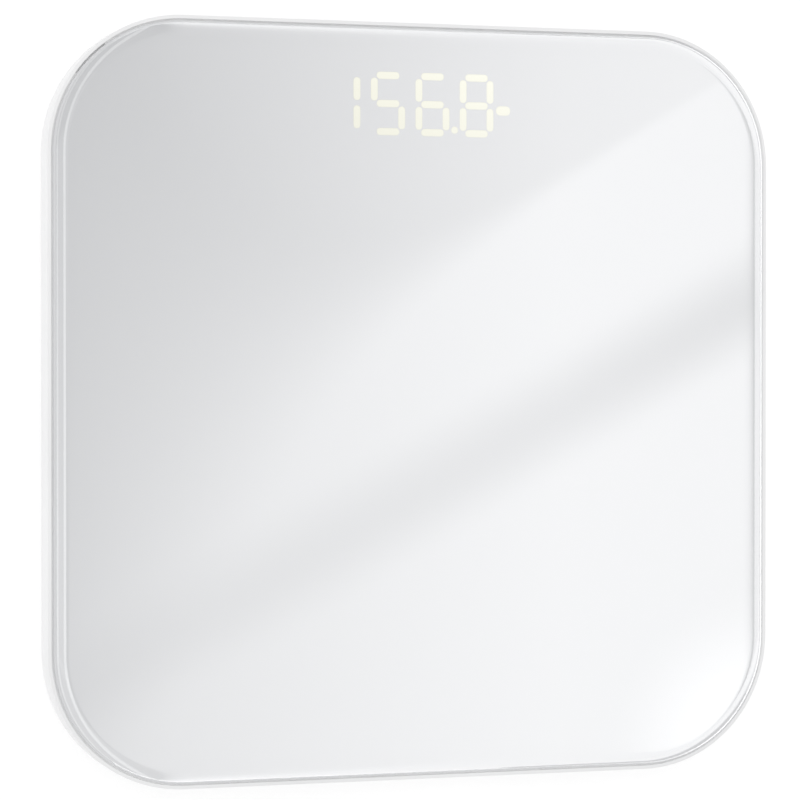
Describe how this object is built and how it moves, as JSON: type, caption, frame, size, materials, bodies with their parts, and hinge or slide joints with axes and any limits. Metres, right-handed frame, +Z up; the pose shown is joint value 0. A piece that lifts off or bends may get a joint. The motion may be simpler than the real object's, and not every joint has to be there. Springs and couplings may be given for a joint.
{
  "type": "digital bathroom scale",
  "caption": "Slim square bathroom scale with a round-cornered white glass platform, hidden digit display, moulded tray, load cells under floating feet and a hinged battery door.",
  "frame": {"origin": "centre of the footprint, on the floor under the foot pads", "axes": "+X to the right of a user who reads the display, +Y towards the display edge, +Z up out of the glass"},
  "size_m": [0.28, 0.28, 0.022],
  "materials": {
    "tray_plastic": "fine moulded satin",
    "platform_glass": "polished tempered glass",
    "white_print": "white print behind glass",
    "white_foam": "closed-cell foam tape",
    "board_green": "solder mask over fibreglass",
    "display_white": "white reflector plastic",
    "led_light": "clear potting, lit warm white",
    "led_phosphor": "phosphor dome",
    "diffuser_sheet": "translucent sheet",
    "screw_steel": "zinc plated",
    "chip_black": "moulded epoxy",
    "component_tan": "ceramic and tinned metal",
    "connector_ivory": "moulded nylon",
    "ribbon_grey": "flat cable",
    "battery_jacket": "printed shrink jacket",
    "contact_nickel": "nickel plated",
    "wire_red": "insulation",
    "wire_black": "insulation",
    "wire_grey": "insulation",
    "button_grey": "satin moulded",
    "dark_foam": "open-cell foam",
    "cell_steel": "stamped, nickel plated",
    "gauge_silicone": "silicone coat",
    "bracket_grey": "moulded nylon",
    "foot_plastic": "satin moulded",
    "foot_rubber": "textured rubber"
  },
  "bodies": {
    "chassis": {"base_tray": "tray_plastic", "glass_platform": "platform_glass", "print_film": "white_print", "glass_adhesive": "white_foam", "glass_pads": "white_foam", "display_board": "board_green", "display_housing": "display_white", "led_light_bars": "led_light", "led_chips": "led_phosphor", "display_diffuser": "diffuser_sheet", "display_screws": "screw_steel", "main_board": "board_green", "controller_chip": "chip_black", "weighing_chip": "chip_black", "board_components": "component_tan", "cell_connectors": "connector_ivory", "board_screws": "screw_steel", "display_ribbon": "ribbon_grey", "unit_switch_body": "chip_black", "battery_1": "battery_jacket", "battery_2": "battery_jacket", "battery_3": "battery_jacket", "battery_springs": "contact_nickel", "battery_plates": "contact_nickel", "battery_lead_red": "wire_red", "battery_lead_black": "wire_black", "bracket_screws": "screw_steel", "load_cell_front_left": "cell_steel", "strain_gauge_front_left": "gauge_silicone", "cell_bracket_front_left": "bracket_grey", "cell_wires_front_left": "wire_grey", "load_cell_front_right": "cell_steel", "strain_gauge_front_right": "gauge_silicone", "cell_bracket_front_right": "bracket_grey", "cell_wires_front_right": "wire_grey", "load_cell_rear_left": "cell_steel", "strain_gauge_rear_left": "gauge_silicone", "cell_bracket_rear_left": "bracket_grey", "cell_wires_rear_left": "wire_grey", "load_cell_rear_right": "cell_steel", "strain_gauge_rear_right": "gauge_silicone", "cell_bracket_rear_right": "bracket_grey", "cell_wires_rear_right": "wire_grey"},
    "button_group": {"unit_button": "button_grey", "unit_switch_plunger": "chip_black"},
    "door_group": {"battery_door": "tray_plastic", "door_foam": "dark_foam"},
    "foot_front_left": {"foot_cup_front_left": "foot_plastic", "foot_pad_front_left": "foot_rubber"},
    "foot_front_right": {"foot_cup_front_right": "foot_plastic", "foot_pad_front_right": "foot_rubber"},
    "foot_rear_left": {"foot_cup_rear_left": "foot_plastic", "foot_pad_rear_left": "foot_rubber"},
    "foot_rear_right": {"foot_cup_rear_right": "foot_plastic", "foot_pad_rear_right": "foot_rubber"}
  },
  "joints": [
    {"name": "foot_front_left_lift", "type": "slide", "parent": "chassis", "child": "foot_front_left", "axis": [0, 0, 1], "range_m": [0, 0.0006], "stiffness_N_per_m": 2000, "springref_m": -0.0025},
    {"name": "foot_front_right_lift", "type": "slide", "parent": "chassis", "child": "foot_front_right", "axis": [0, 0, 1], "range_m": [0, 0.0006], "stiffness_N_per_m": 2000, "springref_m": -0.0025},
    {"name": "foot_rear_left_lift", "type": "slide", "parent": "chassis", "child": "foot_rear_left", "axis": [0, 0, 1], "range_m": [0, 0.0006], "stiffness_N_per_m": 2000, "springref_m": -0.0025},
    {"name": "foot_rear_right_lift", "type": "slide", "parent": "chassis", "child": "foot_rear_right", "axis": [0, 0, 1], "range_m": [0, 0.0006], "stiffness_N_per_m": 2000, "springref_m": -0.0025},
    {"name": "unit_button_press", "type": "slide", "parent": "chassis", "child": "button_group", "axis": [0, 0, 1], "range_m": [0, 0.0005], "stiffness_N_per_m": 1500},
    {"name": "battery_door_hinge", "type": "hinge", "parent": "chassis", "child": "door_group", "pos_m": [0, -0.0116, 0.0044], "axis": [-1, 0, 0], "range_deg": [0, 90]}
  ]
}
